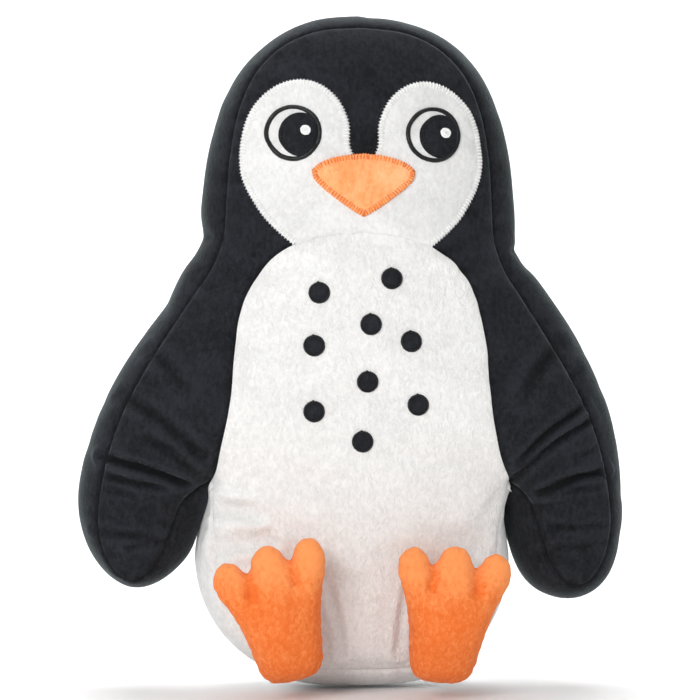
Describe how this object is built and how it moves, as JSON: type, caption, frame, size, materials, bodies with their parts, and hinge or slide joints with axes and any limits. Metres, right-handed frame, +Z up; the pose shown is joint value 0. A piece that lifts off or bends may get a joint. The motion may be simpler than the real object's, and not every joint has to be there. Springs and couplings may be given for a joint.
{
  "type": "plush penguin cushion",
  "caption": "Flat boxed plush cushion shaped as a sitting penguin, with soft bending wings, stuffed feet that fold down, a sewn-on face and a dotted white belly.",
  "frame": {"origin": "middle of the bottom of the whole penguin's box, on the surface it stands on", "axes": "+Z up towards the head, the face and belly towards -Y, +X to the side on a viewer's right"},
  "size_m": [0.3232, 0.1348, 0.4],
  "materials": {
    "black_plush": "short black velour with a soft sheen",
    "white_plush": "short white velour",
    "orange_plush": "short orange velour",
    "beak_plush": "short light orange velour",
    "black_thread": "black satin embroidery thread",
    "white_thread": "white embroidery thread",
    "orange_thread": "orange embroidery thread",
    "fibre_filling": "white polyester fibre, loose",
    "satin_label": "white satin ribbon, blank"
  },
  "bodies": {
    "torso": {"body_filling": "fibre_filling", "hood_front_panel": "black_plush", "belly_panel": "white_plush", "back_panel": "black_plush", "head_gusset": "black_plush", "lower_gusset": "white_plush", "face_patch": "white_plush", "left_face_stitching": "white_thread", "right_face_stitching": "white_thread", "beak_patch": "beak_plush", "beak_stitching": "orange_thread", "left_eye_ring": "black_thread", "left_pupil": "black_thread", "left_eye_highlight": "white_thread", "right_eye_ring": "black_thread", "right_pupil": "black_thread", "right_eye_highlight": "white_thread", "belly_dot_1": "black_plush", "belly_dot_2": "black_plush", "belly_dot_3": "black_plush", "belly_dot_4": "black_plush", "belly_dot_5": "black_plush", "belly_dot_6": "black_plush", "belly_dot_7": "black_plush", "belly_dot_8": "black_plush", "belly_dot_9": "black_plush", "care_label": "satin_label", "closing_seam": "black_thread", "left_wing_root": "black_plush", "left_heel_seam": "orange_plush", "right_wing_root": "black_plush", "right_heel_seam": "orange_plush"},
    "left_wing": {"left_wing_filling": "fibre_filling", "left_wing_front_panel": "black_plush", "left_wing_back_panel": "black_plush", "left_wing_gusset": "black_plush"},
    "left_foot": {"left_foot_filling": "fibre_filling", "left_foot_sole_panel": "orange_plush", "left_foot_top_panel": "orange_plush"},
    "right_wing": {"right_wing_filling": "fibre_filling", "right_wing_front_panel": "black_plush", "right_wing_back_panel": "black_plush", "right_wing_gusset": "black_plush"},
    "right_foot": {"right_foot_filling": "fibre_filling", "right_foot_sole_panel": "orange_plush", "right_foot_top_panel": "orange_plush"}
  },
  "joints": [
    {"name": "left_wing_flap", "type": "hinge", "parent": "torso", "child": "left_wing", "pos_m": [-0.107, 0.01684, 0.15], "axis": [0, 0, 1], "range_deg": [-30, 30], "stiffness_Nm_per_rad": 0.05, "deforming": ["left_wing_root"]},
    {"name": "right_wing_flap", "type": "hinge", "parent": "torso", "child": "right_wing", "pos_m": [0.107, 0.01684, 0.15], "axis": [0, 0, 1], "range_deg": [-30, 30], "stiffness_Nm_per_rad": 0.05, "deforming": ["right_wing_root"]},
    {"name": "left_foot_tilt", "type": "hinge", "parent": "torso", "child": "left_foot", "pos_m": [-0.041, -0.04116, 0.023], "axis": [1, 0, 0], "range_deg": [0, 78], "stiffness_Nm_per_rad": 0.06, "deforming": ["left_heel_seam"]},
    {"name": "right_foot_tilt", "type": "hinge", "parent": "torso", "child": "right_foot", "pos_m": [0.0465, -0.04116, 0.023], "axis": [1, 0, 0], "range_deg": [0, 78], "stiffness_Nm_per_rad": 0.06, "deforming": ["right_heel_seam"]}
  ]
}
